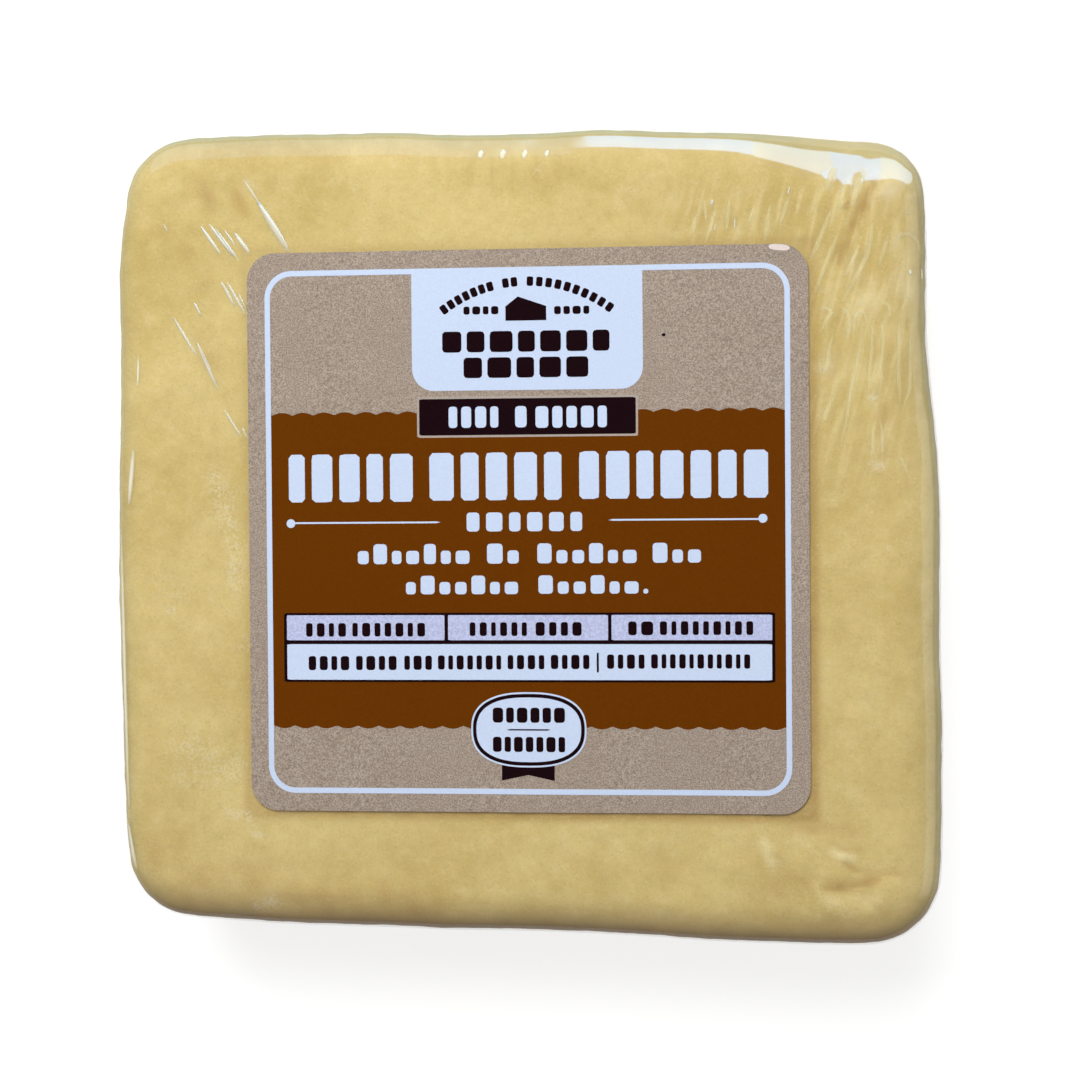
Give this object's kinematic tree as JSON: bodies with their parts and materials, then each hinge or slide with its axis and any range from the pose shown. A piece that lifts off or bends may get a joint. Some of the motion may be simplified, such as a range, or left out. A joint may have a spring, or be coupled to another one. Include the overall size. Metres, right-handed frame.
{
  "type": "wrapped cheese block",
  "caption": "Square block of yellow cheese in tight clear film, lying flat, with a square paper label stuck on its front face.",
  "frame": {"origin": "middle of the block's overall rectangle, on the flat back face that it rests on", "axes": "+Z out through the label, +Y to the label's top edge, +X to the label's right"},
  "size_m": [0.095, 0.093, 0.0256],
  "materials": {
    "wrapped_cheese": "pale yellow cheese under a tight, clear, glossy film",
    "label": "speckled grey-brown kraft paper, matt, with flat printed fields"
  },
  "bodies": {
    "root": {"wrapped_cheese": "wrapped_cheese", "label": "label"}
  },
  "joints": []
}
